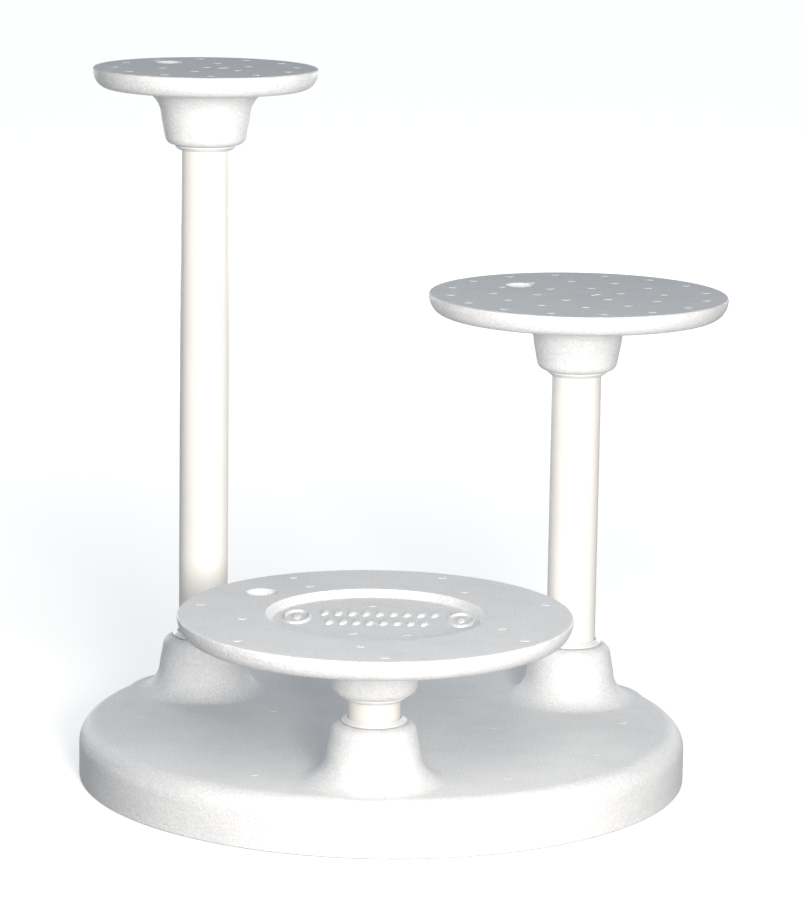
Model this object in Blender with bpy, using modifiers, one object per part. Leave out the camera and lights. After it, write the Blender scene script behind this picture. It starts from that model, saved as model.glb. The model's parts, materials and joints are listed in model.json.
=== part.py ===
"""Three-tier dessert display stand: a round hollow base, three pipe posts and three round plates.

Metres, +Z up. The origin is on the surface the stand rests on, at the middle of the base.
The columns stand on one circle, a third of a turn apart: large plate in front (-Y), medium
plate on the right and small plate on the left.
"""

import math

import bmesh
import bpy
from mathutils import Matrix

# --- Driving dimensions -------------------------------------------------------------------
BASE_RADIUS = 0.2032
BASE_HEIGHT = 0.0360
BASE_SHOULDER = 0.0135          # rounding between the base's side and its top
BASE_SKIN = 0.005               # thickness of the base's top and side walls
RIB_COUNT = 4
RIB_THICKNESS = 0.004
RIB_RECESS = 0.003              # the ribs stop this far above the surface the base rests on
PAD_RADIUS = 0.022              # solid middle foot under the base
COLUMN_CIRCLE_RADIUS = 0.1466

PIPE_RADIUS = 0.0167            # nominal one-inch pipe
PIPE_BORE_RADIUS = 0.0133
PIPE_CHAMFER = 0.0008

COLLAR_WALL = 0.0016
COLLAR_LIP = 0.0022             # how far the flange stands out past the sleeve, at its seat
COLLAR_TIP = 0.0009             # wall left at the flange's narrow end
COLLAR_FLANGE_HEIGHT = 0.0036

# Boss on the base and hub under a plate share one bell shape.
BELL_RISE = 0.0378              # from the surface it grows out of to its flat end
BELL_WALL = 0.0085              # round the collar's seat, at the flat end
BELL_DRAFT = 0.0025             # how much wider the bell is where its flare starts
BELL_ROUNDING = 0.0062
BELL_FLARE = 0.019              # fillet into the base or plate

PLATE_THICKNESS = 0.0139
PLATE_UNDERCUT = 0.0105         # how far the plate's side curves in on its way down
PLATE_LIP = 0.0016              # small rounding at the plate's upper edge
FINGER_HOLE_RADIUS = 0.0100

RECESSED_PLATE = "large"
RECESS_RADIUS = 0.0695
RECESS_DEPTH = 0.0052
RECESS_SLOPE = 0.0040           # how far the recess wall leans in on its way down

# Each column's direction from the middle of the base, in degrees seen from above, its plate's
# radius and the height of the plate's top, then the finger hole's distance and direction from
# the middle of the plate.
COLUMNS = {
    "small": (150, 0.0758, 0.4660, 0.0420, 130),
    "medium": (30, 0.1016, 0.3170, 0.0535, 138),
    "large": (-90, 0.1252, 0.1440, 0.0920, 145),
}
POST_NAMES = {"small": "post_tall", "medium": "post_medium", "large": "post_short"}
BASE_COLLAR_SIDES = {"small": "left", "medium": "right", "large": "front"}

# --- Clearances ---------------------------------------------------------------------------
FACE_GAP = 0.0003               # between faces that rest on each other
SLIDE_GAP = 0.0003              # between the pipe and its collars
SEAT_GAP = 0.0003               # between a collar and the bell it lines

# --- Facets -------------------------------------------------------------------------------
BASE_STEPS = 60
PLATE_STEPS = 40
BELL_STEPS = 30
PIPE_STEPS = 30
HOLE_STEPS = 20

# --- Fits worked out from the sizes above -------------------------------------------------
COLLAR_BORE = PIPE_RADIUS + SLIDE_GAP
COLLAR_OUTER = COLLAR_BORE + COLLAR_WALL
COLLAR_FLANGE_RADIUS = COLLAR_OUTER + COLLAR_LIP
SEAT_RADIUS = COLLAR_OUTER + SEAT_GAP
BELL_END_RADIUS = SEAT_RADIUS + BELL_WALL
BELL_SIDE_RADIUS = BELL_END_RADIUS + BELL_DRAFT

WHITE = (0.80, 0.81, 0.83, 1.0)
IVORY = (0.86, 0.84, 0.78, 1.0)
COLLAR_WHITE = (0.83, 0.83, 0.82, 1.0)


# --- Scene and materials ------------------------------------------------------------------
def clear_scene():
    for obj in list(bpy.data.objects):
        bpy.data.objects.remove(obj, do_unlink=True)


def new_collection(name):
    collection = bpy.data.collections.new(name)
    bpy.context.scene.collection.children.link(collection)
    return collection


def make_material(name, color, roughness):
    material = bpy.data.materials.new(name)
    material.use_nodes = True
    shader = material.node_tree.nodes["Principled BSDF"]
    shader.inputs["Base Color"].default_value = color
    shader.inputs["Roughness"].default_value = roughness
    shader.inputs["Metallic"].default_value = 0.0
    return material


# --- Outlines -----------------------------------------------------------------------------
def arc(center, radii, start, end, steps):
    """Points (radius, height) along an elliptical arc, angles in degrees."""
    points = []
    for step in range(steps + 1):
        angle = math.radians(start + (end - start) * step / steps)
        points.append((center[0] + radii[0] * math.cos(angle), center[1] + radii[1] * math.sin(angle)))
    return points


def bell_side():
    """The bell's outside, from its flat end at BELL_RISE down to the surface at height 0."""
    rounding_center = (BELL_END_RADIUS - BELL_ROUNDING, BELL_RISE - BELL_ROUNDING)
    flare_center = (BELL_SIDE_RADIUS + BELL_FLARE, BELL_FLARE)
    side = arc(rounding_center, (BELL_ROUNDING, BELL_ROUNDING), 90, 8, 4)
    side += arc(flare_center, (BELL_FLARE, BELL_FLARE), 180, 270, 6)
    return side


def boss_outline():
    """The bell as a ring round its seat. Its foot goes into the middle of the base's skin."""
    foot = -BASE_SKIN / 2
    outline = [(SEAT_RADIUS, BELL_RISE)] + bell_side()
    outline += [(BELL_SIDE_RADIUS + BELL_FLARE, foot), (SEAT_RADIUS, foot)]
    return outline


def plate_outline(radius, recess_radius):
    """Plate and hub in one outline, with the plate's top at height 0."""
    underside = -PLATE_THICKNESS
    outline = [(0, 0)]
    if recess_radius:
        outline = [(0, -RECESS_DEPTH), (recess_radius - RECESS_SLOPE, -RECESS_DEPTH), (recess_radius, 0)]
    outline += arc((radius - PLATE_LIP, -PLATE_LIP), (PLATE_LIP, PLATE_LIP), 90, 0, 3)
    side_center = (radius - PLATE_UNDERCUT, -PLATE_LIP)
    outline += arc(side_center, (PLATE_UNDERCUT, PLATE_THICKNESS - PLATE_LIP), 0, -90, 7)[1:]
    outline += [(across, underside - height) for across, height in reversed(bell_side())]
    outline += [(SEAT_RADIUS, underside - BELL_RISE), (SEAT_RADIUS, underside), (0, underside)]
    return outline


def base_outline():
    """Open-bottomed drum: from the middle of the top down the outside, then back up inside."""
    shoulder_center = (BASE_RADIUS - BASE_SHOULDER, BASE_HEIGHT - BASE_SHOULDER)
    inner_shoulder = BASE_SHOULDER - BASE_SKIN
    outline = [(0, BASE_HEIGHT)]
    outline += arc(shoulder_center, (BASE_SHOULDER, BASE_SHOULDER), 90, 0, 6)
    outline += [(BASE_RADIUS, 0), (BASE_RADIUS - BASE_SKIN, 0)]
    outline += arc(shoulder_center, (inner_shoulder, inner_shoulder), 0, 90, 3)
    outline += [(PAD_RADIUS, BASE_HEIGHT - BASE_SKIN), (PAD_RADIUS, 0), (0, 0)]
    return outline


def rib_outline():
    """One rib, seen from its side. It goes half a skin into the walls, so that they join."""
    bite = BASE_SKIN / 2
    inner = PAD_RADIUS / 2
    outer = BASE_RADIUS - bite
    shoulder_center = (BASE_RADIUS - BASE_SHOULDER, BASE_HEIGHT - BASE_SHOULDER)
    outline = [(inner, RIB_RECESS), (outer, RIB_RECESS)]
    outline += arc(shoulder_center, (BASE_SHOULDER - bite, BASE_SHOULDER - bite), 0, 90, 3)
    outline += [(inner, BASE_HEIGHT - bite)]
    return outline


def collar_outline():
    """Sleeve under a flange that narrows away from the bell. Height 0 is the bell's flat end."""
    tip_radius = COLLAR_BORE + COLLAR_TIP
    flange_size = (COLLAR_FLANGE_RADIUS - tip_radius, COLLAR_FLANGE_HEIGHT - FACE_GAP)
    outline = [(COLLAR_BORE, COLLAR_FLANGE_HEIGHT)]
    outline += arc((tip_radius, FACE_GAP), flange_size, 90, 0, 3)
    outline += [(COLLAR_OUTER, FACE_GAP)]
    outline += [(COLLAR_OUTER, FACE_GAP - BELL_RISE), (COLLAR_BORE, FACE_GAP - BELL_RISE)]
    return outline


def pipe_outline(length):
    """Pipe standing on height 0, with its outer edges broken."""
    return [
        (PIPE_BORE_RADIUS, length),
        (PIPE_RADIUS - PIPE_CHAMFER, length),
        (PIPE_RADIUS, length - PIPE_CHAMFER),
        (PIPE_RADIUS, PIPE_CHAMFER),
        (PIPE_RADIUS - PIPE_CHAMFER, 0),
        (PIPE_BORE_RADIUS, 0),
    ]


# --- Building tools -----------------------------------------------------------------------
def add_object(name, build, collection, material=None):
    mesh = bpy.data.meshes.new(name)
    build.to_mesh(mesh)
    build.free()
    if material:
        mesh.materials.append(material)
    obj = bpy.data.objects.new(name, mesh)
    collection.objects.link(obj)
    return obj


def turned(name, outline, steps, collection, material=None):
    """A solid of revolution about Z. An outline that doesn't start on the axis is a closed ring."""
    build = bmesh.new()
    verts = [build.verts.new((across, 0, height)) for across, height in outline]
    for first, second in zip(verts, verts[1:]):
        build.edges.new((first, second))
    if outline[0][0] > 0:
        build.edges.new((verts[-1], verts[0]))
    obj = add_object(name, build, collection, material)
    screw = obj.modifiers.new("turn", "SCREW")
    screw.steps = steps
    screw.render_steps = steps
    screw.use_merge_vertices = True
    screw.merge_threshold = 0.00001
    return obj


def flat_rib(name, outline, thickness, turn, collection):
    """The outline stands upright along a line turned about Z by an angle in degrees."""
    build = bmesh.new()
    face = build.faces.new([build.verts.new((across, thickness / 2, height)) for across, height in outline])
    pushed = bmesh.ops.extrude_face_region(build, geom=[face])
    moved = [item for item in pushed["geom"] if isinstance(item, bmesh.types.BMVert)]
    bmesh.ops.translate(build, vec=(0, -thickness, 0), verts=moved)
    bmesh.ops.rotate(build, matrix=Matrix.Rotation(math.radians(turn), 3, "Z"), verts=build.verts)
    bmesh.ops.recalc_face_normals(build, faces=build.faces)
    return add_object(name, build, collection)


def upright_cylinder(name, radius, depth, steps, collection):
    build = bmesh.new()
    bmesh.ops.create_cone(
        build, cap_ends=True, segments=steps, radius1=radius, radius2=radius, depth=depth
    )
    return add_object(name, build, collection)


def combine(obj, other, operation):
    """Join the other shape to the object, or cut it away, and keep it as a hidden helper."""
    modifier = obj.modifiers.new(f"{operation.lower()} {other.name}", "BOOLEAN")
    modifier.operation = operation
    modifier.solver = "EXACT"
    modifier.object = other
    other.hide_render = True
    other.display_type = "WIRE"


def place(obj, spot, height):
    obj.location = (spot[0], spot[1], height)
    return obj


def polar_spot(distance, direction, middle=(0, 0)):
    angle = math.radians(direction)
    return (middle[0] + distance * math.cos(angle), middle[1] + distance * math.sin(angle))


def smooth_all(collection):
    for obj in collection.objects:
        obj.data.shade_smooth()
        obj.data.set_sharp_from_angle(angle=math.radians(35))


# --- Sub-parts ----------------------------------------------------------------------------
def make_base(parts, helpers, material):
    base = turned("base", base_outline(), BASE_STEPS, parts, material)
    for name, (direction, *_) in COLUMNS.items():
        boss = turned(f"boss_{name}", boss_outline(), BELL_STEPS, helpers)
        place(boss, polar_spot(COLUMN_CIRCLE_RADIUS, direction), BASE_HEIGHT)
        combine(base, boss, "UNION")
    for index in range(RIB_COUNT):
        turn = 360 * index / RIB_COUNT
        combine(base, flat_rib(f"rib_{index}", rib_outline(), RIB_THICKNESS, turn, helpers), "UNION")


def make_post(name, spot, plate_top, parts, material):
    """The pipe runs from the base's seat to the hub's seat, with a gap at each end."""
    low = BASE_HEIGHT + FACE_GAP
    high = plate_top - PLATE_THICKNESS - FACE_GAP
    post = turned(POST_NAMES[name], pipe_outline(high - low), PIPE_STEPS, parts, material)
    place(post, spot, low)


def make_collars(name, spot, plate_top, parts, material):
    """One collar in the base's boss, and the same one upside down in the plate's hub."""
    lower = turned(f"base_collar_{BASE_COLLAR_SIDES[name]}", collar_outline(), PIPE_STEPS, parts, material)
    place(lower, spot, BASE_HEIGHT + BELL_RISE)
    upper = turned(f"hub_collar_{name}", collar_outline(), PIPE_STEPS, parts, material)
    upper.rotation_euler.x = math.pi
    place(upper, spot, plate_top - PLATE_THICKNESS - BELL_RISE)


def make_plate(name, spot, radius, plate_top, hole, parts, helpers, material):
    """The finger hole goes right through, past the bell's flare on the small plate."""
    recess_radius = RECESS_RADIUS if name == RECESSED_PLATE else 0
    plate = turned(f"plate_{name}", plate_outline(radius, recess_radius), PLATE_STEPS, parts, material)
    place(plate, spot, plate_top)
    drill_depth = 2 * (PLATE_THICKNESS + BELL_FLARE)
    drill = upright_cylinder(f"drill_{name}", FINGER_HOLE_RADIUS, drill_depth, HOLE_STEPS, helpers)
    combine(plate, place(drill, polar_spot(*hole, spot), plate_top), "DIFFERENCE")


def main():
    clear_scene()
    parts = new_collection("dessert_stand")
    helpers = new_collection("cutters")
    white = make_material("moulded_white", WHITE, 0.62)
    ivory = make_material("pipe_ivory", IVORY, 0.38)
    collar_white = make_material("collar_white", COLLAR_WHITE, 0.5)

    make_base(parts, helpers, white)
    for name, (direction, radius, plate_top, *hole) in COLUMNS.items():
        spot = polar_spot(COLUMN_CIRCLE_RADIUS, direction)
        make_post(name, spot, plate_top, parts, ivory)
        make_collars(name, spot, plate_top, parts, collar_white)
        make_plate(name, spot, radius, plate_top, hole, parts, helpers, white)
    smooth_all(parts)


main()
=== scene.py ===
import json
import math

import bmesh
import bpy
from mathutils import Matrix, Vector


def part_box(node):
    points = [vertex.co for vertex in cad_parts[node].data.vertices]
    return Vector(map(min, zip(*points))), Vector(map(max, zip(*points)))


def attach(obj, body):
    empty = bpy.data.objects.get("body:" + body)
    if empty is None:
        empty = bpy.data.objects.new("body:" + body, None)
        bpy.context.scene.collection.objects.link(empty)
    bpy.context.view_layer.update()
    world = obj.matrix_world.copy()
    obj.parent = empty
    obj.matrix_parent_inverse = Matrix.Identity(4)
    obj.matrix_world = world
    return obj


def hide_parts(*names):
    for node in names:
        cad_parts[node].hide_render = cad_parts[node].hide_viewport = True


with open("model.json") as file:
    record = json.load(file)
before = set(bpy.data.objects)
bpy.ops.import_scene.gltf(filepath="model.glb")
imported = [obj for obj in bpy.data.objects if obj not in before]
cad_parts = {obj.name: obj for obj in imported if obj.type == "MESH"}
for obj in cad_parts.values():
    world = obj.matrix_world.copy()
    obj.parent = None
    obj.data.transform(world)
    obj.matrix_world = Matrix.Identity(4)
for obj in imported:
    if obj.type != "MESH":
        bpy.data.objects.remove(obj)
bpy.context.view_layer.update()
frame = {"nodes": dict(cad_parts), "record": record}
print("frame loaded:", len(frame["nodes"]), "nodes")


class Signal:
    # one output socket in a material; arithmetic on it adds Math nodes
    def __init__(self, tree, socket=None):
        self.tree = tree
        self.socket = socket

    def node(self, kind, settings=None, sockets=None, output=0):
        made = self.tree.nodes.new(kind)
        for name, value in (settings or {}).items():
            setattr(made, name, value)
        for name, value in (sockets or {}).items():
            if isinstance(value, Signal):
                self.tree.links.new(value.socket, made.inputs[name])
            else:
                made.inputs[name].default_value = value
        return Signal(self.tree, made.outputs[output]) if made.outputs else None

    def maths(self, operation, first, second):
        return self.node("ShaderNodeMath", {"operation": operation}, {0: first, 1: second})

    def __add__(self, other):
        return self.maths("ADD", self, other)

    def __radd__(self, other):
        return self.maths("ADD", other, self)

    def __sub__(self, other):
        return self.maths("SUBTRACT", self, other)

    def __rsub__(self, other):
        return self.maths("SUBTRACT", other, self)

    def __mul__(self, other):
        return self.maths("MULTIPLY", self, other)

    def __rmul__(self, other):
        return self.maths("MULTIPLY", other, self)

    def between(self, low, high):
        # 0 below low and 1 above high, eased; a high below low turns it round
        settings = {"interpolation_type": "SMOOTHSTEP"}
        sockets = {"Value": self, "From Min": low, "From Max": high}
        return self.node("ShaderNodeMapRange", settings, sockets)


def newMaterial(name):
    material = bpy.data.materials.new(name)
    material.use_nodes = True
    material.node_tree.nodes.clear()
    return material, Signal(material.node_tree)


def placeOnPiece(graph, centre):
    # object coordinates measured from a point of the piece
    coordinates = graph.node("ShaderNodeTexCoord", output=3)
    offset = (-centre[0], -centre[1], -centre[2])
    return graph.node("ShaderNodeMapping", None, {"Vector": coordinates, "Location": offset})


def stretched(graph, place, scale):
    return graph.node("ShaderNodeMapping", None, {"Vector": place, "Scale": scale})


def heightOf(graph, place):
    return graph.node("ShaderNodeSeparateXYZ", None, {"Vector": place}, output=2)


def lengthOf(graph, place):
    return graph.node("ShaderNodeVectorMath", {"operation": "LENGTH"}, {0: place}, output=1)


def noise(graph, place, scale, detail, roughness):
    sockets = {"Vector": place, "Scale": scale, "Detail": detail, "Roughness": roughness}
    return graph.node("ShaderNodeTexNoise", None, sockets)


def mixColors(graph, amount, first, second):
    settings = {"data_type": "RGBA", "clamp_factor": True}
    return graph.node("ShaderNodeMix", settings, {0: amount, 6: first, 7: second}, output=2)


def finishMaterial(graph, color, roughness, relief, skin):
    bump = graph.node(
        "ShaderNodeBump",
        None,
        {"Strength": skin["bumpStrength"], "Distance": skin["bumpDepth"], "Height": relief},
    )
    shader = graph.node(
        "ShaderNodeBsdfPrincipled",
        None,
        {
            "Base Color": color,
            "Roughness": roughness,
            "Normal": bump,
            "Metallic": 0.0,
            "IOR": 1.5,
            "Coat Weight": skin["coat"],
            "Coat Roughness": 0.25,
            "Specular IOR Level": skin["specular"],
        },
    )
    graph.node("ShaderNodeOutputMaterial", None, {"Surface": shader})


# foamed moulding: dense sandy grain, faint swirls in the skin, edges worn smooth and painted lighter
# there as a highlight
foamSkin = {
    "color": (0.800, 0.805, 0.812, 1),
    "swirlColor": (0.742, 0.750, 0.764, 1),
    "darkGrainColor": (0.655, 0.668, 0.690, 1),
    "paleGrainColor": (0.900, 0.902, 0.905, 1),
    # lighter colour painted on the handled edge as a highlight; pips and marks above the top take it
    # too
    "rubbedAndHighlightColor": (0.880, 0.880, 0.878, 1),
    "fleckColor": (0.960, 0.960, 0.960, 1),
    "swirlStrength": 0.75,
    "darkGrainStrength": 0.50,
    "paleGrainStrength": 0.60,
    "fleckStrength": 0.85,
    # how strongly the painted highlight shows on the handled edge
    "rubbedAndHighlightStrength": 0.7,
    "raisedStrength": 0.6,
    "swirlScale": 24,
    "swirlStretch": (1.0, 1.5, 2.6),
    "grainScale": 620,
    "fleckScale": 760,
    "pitScale": 360,
    "smearScale": 72,
    "streakScale": 260,
    "streakStretch": (0.55, 0.55, 2.4),
    "rubbedWidth": 0.0024,
    "pipStep": 0.00012,
    "roughness": 0.55,
    "grainRoughness": 0.18,
    "paleRoughness": 0.10,
    "rubbedRoughness": 0.18,
    "bumpStrength": 0.65,
    "bumpDepth": 0.0007,
    "coat": 0.0,
    "specular": 0.45,
}


def foamedPlastic(name, centre, rimRadius, rimHeight, topHeight):
    # heights are measured from the centre; what stands above topHeight is a pip or a mark
    skin = foamSkin
    material, graph = newMaterial(name)
    place = placeOnPiece(graph, centre)
    swirlPlace = stretched(graph, place, skin["swirlStretch"])
    swirl = noise(graph, swirlPlace, skin["swirlScale"], 5.0, 0.62).between(0.40, 0.70)
    grain = noise(graph, place, skin["grainScale"], 2.0, 0.62)
    darkGrain = grain.between(0.52, 0.36)
    paleGrain = grain.between(0.54, 0.70)
    fleck = noise(graph, place, skin["fleckScale"], 0.0, 0.5).between(0.72, 0.80)
    smear = noise(graph, place, skin["smearScale"], 3.0, 0.6).between(0.35, 0.75)
    streakPlace = stretched(graph, place, skin["streakStretch"])
    streak = noise(graph, streakPlace, skin["streakScale"], 3.0, 0.6)
    pitSockets = {"Vector": place, "Scale": skin["pitScale"], "Randomness": 1.0}
    pits = graph.node("ShaderNodeTexVoronoi", {"feature": "F1"}, pitSockets)

    # the edge between top and side is handled most: smoother, in broken patches; the same patches
    # are painted lighter as a highlight
    height = heightOf(graph, place)
    across = lengthOf(graph, stretched(graph, place, (1.0, 1.0, 0.0)))
    width = skin["rubbedWidth"]
    nearRim = across.between(rimRadius - width, rimRadius - width * 0.3)
    nearTop = (height - rimHeight + width * 2.0).between(0.0, width)
    rubbedAndHighlight = nearRim * nearTop * smear
    raised = (height - topHeight).between(skin["pipStep"] * 0.4, skin["pipStep"])

    color = mixColors(graph, swirl * skin["swirlStrength"], skin["color"], skin["swirlColor"])
    # the last layer paints a highlight on the handled edge
    for mask, layer in (
        (darkGrain, "darkGrain"),
        (paleGrain, "paleGrain"),
        (fleck, "fleck"),
        (rubbedAndHighlight, "rubbedAndHighlight"),
    ):
        color = mixColors(graph, mask * skin[layer + "Strength"], color, skin[layer + "Color"])
    # pips and marks above the top are painted in the same lighter colour as the edge
    color = mixColors(graph, raised * skin["raisedStrength"], color, skin["rubbedAndHighlightColor"])
    rough = skin["roughness"] + grain * skin["grainRoughness"]
    rough = rough - rubbedAndHighlight * skin["rubbedRoughness"] - paleGrain * skin["paleRoughness"]
    relief = (grain * 0.6 + pits * 0.4 + streak * 0.6) * (1.0 - 0.6 * rubbedAndHighlight)
    finishMaterial(graph, color, rough, relief, skin)
    return material


# extruded pipe: warm, satin, drawn lengthwise, scuffed where it goes into the collars
pipeSkin = {
    "color": (0.880, 0.864, 0.822, 1),
    "shadeColor": (0.838, 0.820, 0.772, 1),
    "endColor": (0.900, 0.890, 0.860, 1),
    "shadeStrength": 0.7,
    "endStrength": 0.6,
    "endLength": 0.006,
    "drawScale": 420,
    "drawStretch": (1.0, 1.0, 0.012),
    "cloudScale": 34,
    "cloudStretch": (1.0, 1.0, 0.35),
    "scuffScale": 260,
    "dustScale": 1300,
    "roughness": 0.30,
    "drawRoughness": 0.10,
    "endRoughness": 0.25,
    "cloudRoughness": 0.06,
    "bumpStrength": 0.16,
    "bumpDepth": 0.0003,
    "coat": 0.12,
    "specular": 0.5,
}


def extrudedPlastic(name, centre, low, high):
    skin = pipeSkin
    material, graph = newMaterial(name)
    place = placeOnPiece(graph, centre)
    drawn = noise(graph, stretched(graph, place, skin["drawStretch"]), skin["drawScale"], 3.0, 0.55)
    cloudPlace = stretched(graph, place, skin["cloudStretch"])
    cloud = noise(graph, cloudPlace, skin["cloudScale"], 4.0, 0.6).between(0.36, 0.70)
    scuff = noise(graph, place, skin["scuffScale"], 3.0, 0.65).between(0.3, 0.6)
    dust = noise(graph, place, skin["dustScale"], 1.0, 0.5)
    height = heightOf(graph, place)
    fromLow = (height - (low - centre[2])).between(skin["endLength"], 0.0)
    fromHigh = ((high - centre[2]) - height).between(skin["endLength"], 0.0)
    ends = (fromLow + fromHigh) * scuff
    color = mixColors(graph, cloud * skin["shadeStrength"], skin["color"], skin["shadeColor"])
    color = mixColors(graph, ends * skin["endStrength"], color, skin["endColor"])
    rough = skin["roughness"] + drawn * skin["drawRoughness"] + ends * skin["endRoughness"]
    rough = rough + cloud * skin["cloudRoughness"]
    finishMaterial(graph, color, rough, drawn * 0.7 + dust * 0.3, skin)
    return material


# collars: denser plastic than the plates, nearly smooth
collarSkin = {
    "color": (0.835, 0.842, 0.848, 1),
    "shadeColor": (0.790, 0.797, 0.808, 1),
    "cloudScale": 120,
    "turnedScale": 1500,
    "turnedStretch": (0.05, 0.05, 1.0),
    "grainScale": 900,
    "roughness": 0.40,
    "grainRoughness": 0.12,
    "bumpStrength": 0.18,
    "bumpDepth": 0.0003,
    "coat": 0.0,
    "specular": 0.5,
}


def collarPlastic(name, centre):
    skin = collarSkin
    material, graph = newMaterial(name)
    place = placeOnPiece(graph, centre)
    cloud = noise(graph, place, skin["cloudScale"], 3.0, 0.6).between(0.35, 0.7)
    turnedPlace = stretched(graph, place, skin["turnedStretch"])
    turned = noise(graph, turnedPlace, skin["turnedScale"], 2.0, 0.5)
    grain = noise(graph, place, skin["grainScale"], 2.0, 0.5)
    color = mixColors(graph, cloud, skin["color"], skin["shadeColor"])
    rough = skin["roughness"] + grain * skin["grainRoughness"]
    finishMaterial(graph, color, rough, turned * 0.5 + grain * 0.5, skin)
    return material


def arcPoints(middle, radii, start, end, steps):
    # (distance from axis, height) along part of an ellipse, angles in degrees
    points = []
    for step in range(steps + 1):
        angle = math.radians(start + (end - start) * step / steps)
        across = middle[0] + radii[0] * math.cos(angle)
        height = middle[1] + radii[1] * math.sin(angle)
        points.append((across, height))
    return points


def spinOutline(outline, segments, closed=False):
    # a turned solid; an open outline starts and ends on the axis
    mesh = bmesh.new()
    verts = [mesh.verts.new((across, 0, height)) for across, height in outline]
    pairs = list(zip(verts, verts[1:]))
    if closed:
        pairs.append((verts[-1], verts[0]))
    edges = [mesh.edges.new(pair) for pair in pairs]
    bmesh.ops.spin(
        mesh,
        geom=verts + edges,
        cent=(0, 0, 0),
        axis=(0, 0, 1),
        dvec=(0, 0, 0),
        angle=2 * math.pi,
        steps=segments,
        use_merge=True,
        use_duplicate=False,
    )
    bmesh.ops.remove_doubles(mesh, verts=mesh.verts, dist=1e-6)
    bmesh.ops.recalc_face_normals(mesh, faces=mesh.faces)
    return mesh


def moveShape(mesh, spot, turn=0.0, flip=False):
    # turn is in degrees about the vertical; flip puts the shape upside down first
    if flip:
        over = Matrix.Rotation(math.pi, 3, "X")
        bmesh.ops.rotate(mesh, cent=(0, 0, 0), matrix=over, verts=mesh.verts)
    if turn:
        spin = Matrix.Rotation(math.radians(turn), 3, "Z")
        bmesh.ops.rotate(mesh, cent=(0, 0, 0), matrix=spin, verts=mesh.verts)
    bmesh.ops.translate(mesh, vec=spot, verts=mesh.verts)
    return mesh


def toObject(name, mesh):
    data = bpy.data.meshes.new(name)
    mesh.to_mesh(data)
    mesh.free()
    made = bpy.data.objects.new(name, data)
    bpy.context.scene.collection.objects.link(made)
    return made


def gather(shapes):
    # several bmeshes in one
    whole = bmesh.new()
    for shape in shapes:
        data = bpy.data.meshes.new("part")
        shape.to_mesh(data)
        shape.free()
        whole.from_mesh(data)
        bpy.data.meshes.remove(data)
    return whole


def combine(target, shapes, operation):
    # shapes are joined to the target or cut from it, and the result replaces its mesh
    tool = toObject("tool", gather(shapes))
    modifier = target.modifiers.new("join", "BOOLEAN")
    modifier.operation = operation
    modifier.solver = "EXACT"
    modifier.object = tool
    evaluated = target.evaluated_get(bpy.context.evaluated_depsgraph_get())
    result = bpy.data.meshes.new_from_object(evaluated)
    target.modifiers.clear()
    target.data = result
    bpy.data.objects.remove(tool)


def ringSpots(centre, radius, count, start):
    spots = []
    for index in range(count):
        angle = math.radians(start + 360 * index / count)
        spots.append((centre[0] + radius * math.cos(angle), centre[1] + radius * math.sin(angle)))
    return spots


def bodyOf(node):
    for body, nodes in frame["record"]["behaviour"]["bodies"].items():
        if node in nodes:
            return body


shading = {"sharpAngle": 38, "faceWeight": 80}


def finishPiece(piece, node, material):
    data = piece.data
    data.materials.clear()
    data.materials.append(material)
    data.shade_smooth()
    data.set_sharp_from_angle(angle=math.radians(shading["sharpAngle"]))
    weighted = piece.modifiers.new("even shading", "WEIGHTED_NORMAL")
    weighted.keep_sharp = True
    weighted.weight = shading["faceWeight"]
    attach(piece, bodyOf(node))
    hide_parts(node)


# each column is a post, its collar in the base, and the plate on top
columns = {
    "small": {"post": "post_tall", "baseCollar": "base_collar_left"},
    "medium": {"post": "post_medium", "baseCollar": "base_collar_right"},
    "large": {"post": "post_short", "baseCollar": "base_collar_front"},
}
faceGap = 0.0003  # the solids keep this apart where they rest on each other

for name, column in columns.items():
    postLow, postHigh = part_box(column["post"])
    plateLow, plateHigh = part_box("plate_" + name)
    column["spot"] = ((postLow.x + postHigh.x) / 2, (postLow.y + postHigh.y) / 2)
    column["postLow"] = postLow.z
    column["postHigh"] = postHigh.z
    column["plateTop"] = plateHigh.z
    column["plateRadius"] = (plateHigh.x - plateLow.x) / 2
    column["thickness"] = plateHigh.z - postHigh.z - faceGap
    column["bellRise"] = postHigh.z + faceGap - plateLow.z
pipeLow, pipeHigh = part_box("post_tall")
pipeRadius = (pipeHigh.x - pipeLow.x) / 2
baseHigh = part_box("base")[1]
baseRadius = baseHigh.x
baseTop = columns["small"]["postLow"] - faceGap
bellRise = baseHigh.z - baseTop

# bell-shaped boss, used upright on the base and upside down under each plate
bell = {
    "seatRadius": pipeRadius + 0.0022,
    "endRadius": pipeRadius + 0.0107,
    "draft": 0.0025,
    "rounding": 0.0062,
    "flare": 0.019,
    "segments": 112,
}


def bellSide(rise):
    # outside of the bell from its flat end down to height 0
    rounding = bell["rounding"]
    flare = bell["flare"]
    middle = (bell["endRadius"] - rounding, rise - rounding)
    side = arcPoints(middle, (rounding, rounding), 90, 8, 10)
    middle = (bell["endRadius"] + bell["draft"] + flare, flare)
    return side + arcPoints(middle, (flare, flare), 180, 270, 16)


# small raised discs left by the mould, all alike
pip = {
    "radius": 0.0031,
    "height": 0.00025,
    "edge": 0.0002,
    "flank": 0.0001,
    "sunk": 0.0008,
    "segments": 20,
}


def pipShape(spot, height):
    rise = pip["height"]
    edge = pip["edge"]
    foot = pip["radius"] + pip["flank"]
    outline = [(0, rise)]
    outline += arcPoints((pip["radius"] - edge, rise - edge), (edge, edge), 90, 0, 3)
    outline += [(foot, -pip["sunk"]), (0, -pip["sunk"])]
    return moveShape(spinOutline(outline, pip["segments"]), (spot[0], spot[1], height))


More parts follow.
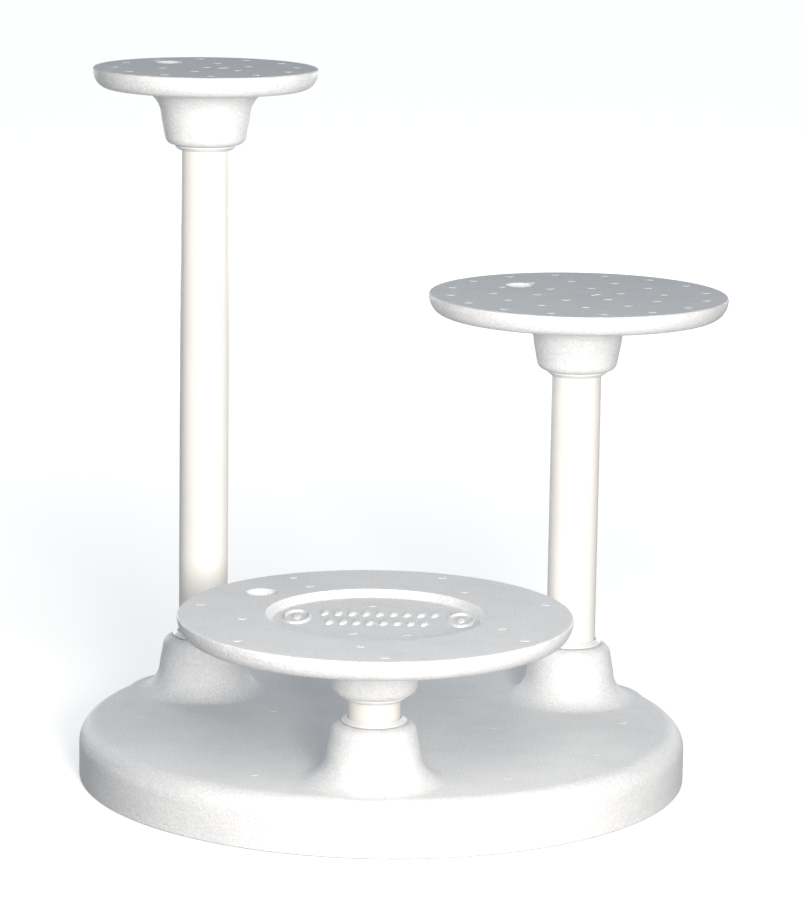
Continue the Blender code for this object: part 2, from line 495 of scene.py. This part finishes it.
base = {
    "shoulder": 0.0135,
    "skin": 0.005,
    "padRadius": 0.022,
    "padEdge": 0.0008,
    "ribs": 4,
    "ribThickness": 0.004,
    "ribRecess": 0.003,
    "footRound": 0.0012,
    "footBevel": 0.0005,
    "segments": 200,
    "bossClearance": 0.051,
    "pipRings": ((0.162, 12, 2), (0.077, 6, -12)),  # radius, count, first angle
    # past the flare the boss dives under the skin, so that no gap shows: (outwards, down)
    "bossFoot": ((0.0, 0.00003), (0.0015, 0.0005), (0.003, 0.0017), (0.003, 0.0025)),
}


def baseOutline():
    shoulder = base["shoulder"]
    skin = base["skin"]
    foot = base["footRound"]
    bevel = base["footBevel"]
    middle = (baseRadius - shoulder, baseTop - shoulder)
    outline = [(0, baseTop), (baseRadius * 0.5, baseTop)]
    outline += arcPoints(middle, (shoulder, shoulder), 90, 0, 14)
    outline += arcPoints((baseRadius - foot, foot), (foot, foot), 0, -90, 4)
    outline += [(baseRadius - skin + bevel, 0), (baseRadius - skin, bevel)]
    outline += arcPoints(middle, (shoulder - skin, shoulder - skin), 0, 90, 8)
    outline += [(base["padRadius"], baseTop - skin), (base["padRadius"], base["padEdge"])]
    return outline + [(base["padRadius"] - base["padEdge"], 0), (0, 0)]


def bossShape(spot):
    flareEnd = bell["endRadius"] + bell["draft"] + bell["flare"]
    outline = [(bell["seatRadius"], bellRise)] + bellSide(bellRise)[:-1]
    outline += [(flareEnd + outwards, -down) for outwards, down in base["bossFoot"]]
    outline += [(bell["seatRadius"], -base["bossFoot"][-1][1])]
    boss = spinOutline(outline, bell["segments"], closed=True)
    return moveShape(boss, (spot[0], spot[1], baseTop))


def ribShape(turn):
    bite = base["skin"] / 2
    turning = base["shoulder"] - bite
    middle = (baseRadius - base["shoulder"], baseTop - base["shoulder"])
    outline = [(base["padRadius"] / 2, base["ribRecess"])]
    outline += [(baseRadius - bite, base["ribRecess"])]
    outline += arcPoints(middle, (turning, turning), 0, 90, 6)
    outline += [(base["padRadius"] / 2, baseTop - bite)]
    mesh = bmesh.new()
    side = -base["ribThickness"] / 2
    face = mesh.faces.new([mesh.verts.new((across, side, height)) for across, height in outline])
    pushed = bmesh.ops.extrude_face_region(mesh, geom=[face])["geom"]
    moved = [item for item in pushed if isinstance(item, bmesh.types.BMVert)]
    bmesh.ops.translate(mesh, vec=(0, base["ribThickness"], 0), verts=moved)
    bmesh.ops.recalc_face_normals(mesh, faces=mesh.faces)
    return moveShape(mesh, (0, 0, 0), turn)


def clearOfBosses(spot):
    room = base["bossClearance"]
    return all(math.dist(spot, column["spot"]) > room for column in columns.values())


def makeBase():
    shell = toObject("base_shell", spinOutline(baseOutline(), base["segments"]))
    combine(shell, [bossShape(column["spot"]) for column in columns.values()], "UNION")
    turns = [360 * index / base["ribs"] for index in range(base["ribs"])]
    combine(shell, [ribShape(turn) for turn in turns], "UNION")
    spots = []
    for radius, count, start in base["pipRings"]:
        spots += ringSpots((0, 0), radius, count, start)
    combine(shell, [pipShape(spot, baseTop) for spot in spots if clearOfBosses(spot)], "UNION")
    centre = (0, 0, baseTop)
    skin = foamedPlastic("foamed_base", centre, baseRadius, base["shoulder"] * -0.4, bellRise)
    finishPiece(shell, "base", skin)


makeBase()
print("base made")

post = {"bore": 0.0133, "edge": 0.0008, "boreEdge": 0.0004, "segments": 96}


def makePost(name, column):
    low = column["postLow"]
    high = column["postHigh"]
    bore = post["bore"]
    edge = post["edge"]
    boreEdge = post["boreEdge"]
    outline = [(bore + boreEdge, high)]
    outline += arcPoints((pipeRadius - edge, high - edge), (edge, edge), 90, 0, 4)
    outline += arcPoints((pipeRadius - edge, low + edge), (edge, edge), 0, -90, 4)
    outline += [(bore + boreEdge, low), (bore, low + boreEdge), (bore, high - boreEdge)]
    shape = spinOutline(outline, post["segments"], closed=True)
    pipe = toObject(column["post"] + "_pipe", moveShape(shape, (*column["spot"], 0)))
    skin = extrudedPlastic("pipe_" + name, (*column["spot"], 0), low, high)
    finishPiece(pipe, column["post"], skin)


for name, column in columns.items():
    makePost(name, column)
print("posts made")

collar = {
    "slide": 0.0003,
    "wall": 0.0016,
    "lip": 0.0022,
    "lipRound": 0.0007,
    "tip": 0.0009,
    "tipEdge": 0.0003,
    "height": 0.0036,
    "segments": 96,
}


def collarOutline():
    # sleeve under a flange that tapers away from the bell; height 0 is the bell's flat end
    bore = pipeRadius + collar["slide"]
    outer = bore + collar["wall"]
    rim = outer + collar["lip"]
    tip = bore + collar["tip"]
    top = collar["height"]
    edge = collar["tipEdge"]
    turning = collar["lipRound"]
    outline = [(bore, top - edge), (bore + edge, top), (tip - 0.0002, top), (tip + edge, top - edge)]
    outline += arcPoints((rim - turning, faceGap + turning), (turning, turning), 50, -90, 7)
    return outline + [(outer, faceGap), (outer, faceGap - bellRise), (bore, faceGap - bellRise)]


def makeCollar(node, spot, height, flip):
    place = (*spot, height)
    shape = spinOutline(collarOutline(), collar["segments"], closed=True)
    sleeve = toObject(node + "_sleeve", moveShape(shape, place, flip=flip))
    finishPiece(sleeve, node, collarPlastic("collar_" + node, place))


for name, column in columns.items():
    makeCollar(column["baseCollar"], column["spot"], baseTop + bellRise, flip=False)
    underHub = column["plateTop"] - column["thickness"] - column["bellRise"]
    makeCollar("hub_collar_" + name, column["spot"], underHub, flip=True)
print("collars made")

plate = {
    "undercut": 0.0105,
    "lip": 0.0014,
    "holeRadius": 0.0100,
    "holeEdge": 0.0006,
    "gateSize": (0.0052, 0.0011, 0.0006),
    "gateTurn": 38,
    "gateSunk": 0.0001,
    "segments": 176,
    "holeSegments": 56,
}
# hole and gate: distance from the middle, angle; rings: radius, count, first angle
plates = {
    "small": {
        "hole": (0.0420, 130),
        "rings": ((0.0, 1, 0), (0.030, 6, 20), (0.061, 12, 8)),
        "gate": (0.013, -18),
        "recess": None,
    },
    "medium": {
        "hole": (0.0535, 138),
        "rings": ((0.029, 6, 12), (0.058, 12, 4), (0.088, 16, 10)),
        "gate": (0.012, -15),
        "recess": None,
    },
    "large": {
        "hole": (0.0920, 145),
        "rings": ((0.113, 7, 18), (0.086, 5, 50)),
        "gate": None,
        "recess": {"radius": 0.0695, "depth": 0.0052, "slope": 0.0036},
    },
}

# plain ornament on the recess floor: two rows of oval beads between two ring medallions
ornament = {
    "rows": ((0.019, -0.033, 0.037, 9), (-0.005, -0.029, 0.031, 8)),  # y, first x, last x, count
    "bead": (0.0027, 0.0058, 0.0021),
    "beadLean": -12,
    "medallions": ((-0.050, 0.008), (0.054, 0.008)),
    "medallionSize": (0.0078, 0.0165),
    "medallionWire": (0.16, 0.0019),  # width as a share of the ring, height
    "medallionBead": (0.0030, 0.0075, 0.0021),
    "sunk": 0.0003,
    "floorPips": ((-0.004, 0.044), (-0.013, -0.032), (0.021, -0.032)),
}


def beadShape(spot, height, size, turn=0.0):
    mesh = bmesh.new()
    bmesh.ops.create_uvsphere(mesh, u_segments=20, v_segments=10, radius=1.0)
    bmesh.ops.scale(mesh, vec=size, verts=mesh.verts)
    return moveShape(mesh, (spot[0], spot[1], height), turn)


def medallionShape(spot, height):
    outline = arcPoints((1.0, 0.0), ornament["medallionWire"], 0, 345, 11)
    mesh = spinOutline(outline, 40, closed=True)
    bmesh.ops.scale(mesh, vec=(*ornament["medallionSize"], 1.0), verts=mesh.verts)
    return moveShape(mesh, (spot[0], spot[1], height))


def ornamentShapes(spot, floor):
    level = floor - ornament["sunk"]
    shapes = []
    for depth, first, last, count in ornament["rows"]:
        for index in range(count):
            across = first + (last - first) * index / (count - 1)
            place = (spot[0] + across, spot[1] + depth)
            shapes.append(beadShape(place, level, ornament["bead"], ornament["beadLean"]))
    for across, depth in ornament["medallions"]:
        place = (spot[0] + across, spot[1] + depth)
        shapes.append(medallionShape(place, level))
        shapes.append(beadShape(place, level, ornament["medallionBead"]))
    for across, depth in ornament["floorPips"]:
        shapes.append(pipShape((spot[0] + across, spot[1] + depth), floor))
    return shapes


def recessOutline(recess):
    # from the middle of the floor up the slope to the plate's top, with both corners eased
    radius = recess["radius"]
    depth = recess["depth"]
    floor = radius - recess["slope"]
    outline = [(0, -depth), (floor * 0.5, -depth), (floor - 0.0015, -depth)]
    outline += [(floor - 0.0004, 0.0002 - depth), (floor + 0.0002, 0.0008 - depth)]
    return outline + [(radius - 0.0003, -0.0005), (radius, -0.0001), (radius + 0.0004, 0)]


def plateOutline(radius, thickness, rise, recess):
    # height 0 is the plate's top
    lip = plate["lip"]
    undercut = plate["undercut"]
    seat = bell["seatRadius"]
    outline = recessOutline(recess) if recess else [(0, 0), (radius * 0.5, 0)]
    outline += arcPoints((radius - lip, -lip), (lip, lip), 90, 0, 6)
    outline += arcPoints((radius - undercut, -lip), (undercut, thickness - lip), 0, -90, 16)[1:]
    outline += [(across, -thickness - height) for across, height in reversed(bellSide(rise))]
    return outline + [(seat, -thickness - rise), (seat, -thickness), (0, -thickness)]


def holeShape(spot, top, thickness):
    radius = plate["holeRadius"]
    edge = plate["holeEdge"]
    depth = thickness + bell["flare"]
    outline = [(0, edge), (radius + edge * 2, edge)]
    outline += arcPoints((radius + edge, -edge), (edge, edge), 90, 180, 5)
    outline += [(radius, -depth), (0, -depth)]
    return moveShape(spinOutline(outline, plate["holeSegments"]), (spot[0], spot[1], top))


def plateMarks(spot, top, style, holeSpot):
    # raised marks: pips clear of the finger hole, a gate mark, the ornament in the recess
    spots = []
    for radius, count, start in style["rings"]:
        spots += ringSpots(spot, radius, count, start)
    room = plate["holeRadius"] + plate["holeEdge"] * 2 + pip["radius"]
    marks = [pipShape(place, top) for place in spots if math.dist(place, holeSpot) > room]
    if style["gate"]:
        distance, angle = style["gate"]
        gateSpot = ringSpots(spot, distance, 1, angle)[0]
        level = top - plate["gateSunk"]
        marks.append(beadShape(gateSpot, level, plate["gateSize"], plate["gateTurn"]))
    if style["recess"]:
        marks += ornamentShapes(spot, top - style["recess"]["depth"])
    return marks


def makePlate(name, column, style):
    spot = column["spot"]
    top = column["plateTop"]
    radius = column["plateRadius"]
    thickness = column["thickness"]
    outline = plateOutline(radius, thickness, column["bellRise"], style["recess"])
    shape = moveShape(spinOutline(outline, plate["segments"]), (*spot, top))
    disc = toObject("plate_" + name + "_disc", shape)
    distance, angle = style["hole"]
    holeSpot = ringSpots(spot, distance, 1, angle)[0]
    combine(disc, plateMarks(spot, top, style, holeSpot), "UNION")
    combine(disc, [holeShape(holeSpot, top, thickness)], "DIFFERENCE")
    skin = foamedPlastic("foamed_" + name, (*spot, top), radius, 0.0, 0.0)
    finishPiece(disc, "plate_" + name, skin)


for name, column in columns.items():
    makePlate(name, column, plates[name])
print("plates made")

studio = {
    "floorSize": 14.0,
    "floorGap": 0.0004,  # keeps the floor's plane off the foot of the base
    "floorColor": (0.52, 0.525, 0.53, 1),
    "floorGlow": (0.62, 0.86),  # near and far, seen by the camera only, so that it lights nothing
    "floorGlowReach": (0.25, 2.4),
    "skyColor": (0.78, 0.885, 1.0, 1),
    "skyStrength": 0.25,
}


def makeFloor():
    mesh = bmesh.new()
    bmesh.ops.create_grid(mesh, x_segments=4, y_segments=4, size=studio["floorSize"])
    bmesh.ops.translate(mesh, vec=(0, 0, -studio["floorGap"]), verts=mesh.verts)
    floor = toObject("floor", mesh)
    material, graph = newMaterial("floor_paint")
    paintSockets = {"Color": studio["floorColor"], "Roughness": 0.5}
    paint = graph.node("ShaderNodeBsdfDiffuse", None, paintSockets)
    distance = lengthOf(graph, graph.node("ShaderNodeTexCoord", output=3))
    near, far = studio["floorGlow"]
    strength = near + distance.between(*studio["floorGlowReach"]) * (far - near)
    seen = graph.node("ShaderNodeLightPath")  # Is Camera Ray
    glow = graph.node("ShaderNodeEmission", None, {"Strength": seen * strength})
    shader = graph.node("ShaderNodeAddShader", None, {0: paint, 1: glow})
    graph.node("ShaderNodeOutputMaterial", None, {"Surface": shader})
    floor.data.materials.append(material)


warm = (1.0, 0.96, 0.91)
pale = (0.97, 0.98, 1.0)
# the two low lamps behind stay under the tops of the high plates
lamps = {
    "key": {"place": (0.62, -2.93, 0.72), "size": 0.6, "power": 53, "color": (1.0, 0.955, 0.90)},
    "near": {"place": (0.20, -1.05, 0.60), "size": 0.8, "power": 10.5, "color": warm},
    "back": {"place": (-0.7, 2.6, 1.5), "size": 1.6, "power": 8, "color": (0.94, 0.97, 1.0)},
    "backLeft": {"place": (-1.3, 2.3, 0.36), "size": 0.8, "power": 22, "color": pale},
    "backRight": {"place": (1.0, 2.4, 0.36), "size": 0.8, "power": 16, "color": pale},
}
lampAim = (0, 0, 0.2)


def makeLamp(name, lamp):
    light = bpy.data.lights.new(name, "AREA")
    light.shape = "DISK"
    light.size = lamp["size"]
    light.energy = lamp["power"]
    light.color = lamp["color"]
    made = bpy.data.objects.new(name, light)
    towards = Vector(lampAim) - Vector(lamp["place"])
    made.location = lamp["place"]
    made.rotation_euler = towards.to_track_quat("-Z", "Y").to_euler()
    made.visible_camera = False
    bpy.context.scene.collection.objects.link(made)


def makeSky():
    world = bpy.data.worlds.new("studio")
    bpy.context.scene.world = world
    world.use_nodes = True
    background = world.node_tree.nodes["Background"]
    background.inputs["Color"].default_value = studio["skyColor"]
    background.inputs["Strength"].default_value = studio["skyStrength"]


viewer = {
    "distance": 2.4982,
    "side": 0.0103,
    "height": 0.7069,
    "azimuth": 1.685,  # degrees round the object from straight in front
    "pitch": 11.12,
    "roll": 0.86,
    "lens": 150.65,
    "sensor": 36,
}


def makeCamera():
    camera = bpy.data.cameras.new("viewer")
    camera.sensor_width = viewer["sensor"]
    camera.lens = viewer["lens"]
    made = bpy.data.objects.new("viewer", camera)
    bpy.context.scene.collection.objects.link(made)
    aim = Matrix.Rotation(math.radians(90 - viewer["pitch"]), 4, "X")
    lean = Matrix.Rotation(math.radians(viewer["roll"]), 4, "Z")
    place = Matrix.Translation((viewer["side"], -viewer["distance"], viewer["height"]))
    turn = Matrix.Rotation(math.radians(viewer["azimuth"]), 4, "Z")
    made.matrix_world = turn @ place @ aim @ lean
    bpy.context.scene.camera = made


makeFloor()
for name, lamp in lamps.items():
    makeLamp(name, lamp)
makeSky()
makeCamera()
bpy.context.scene.view_settings.view_transform = "Standard"
print("studio made")
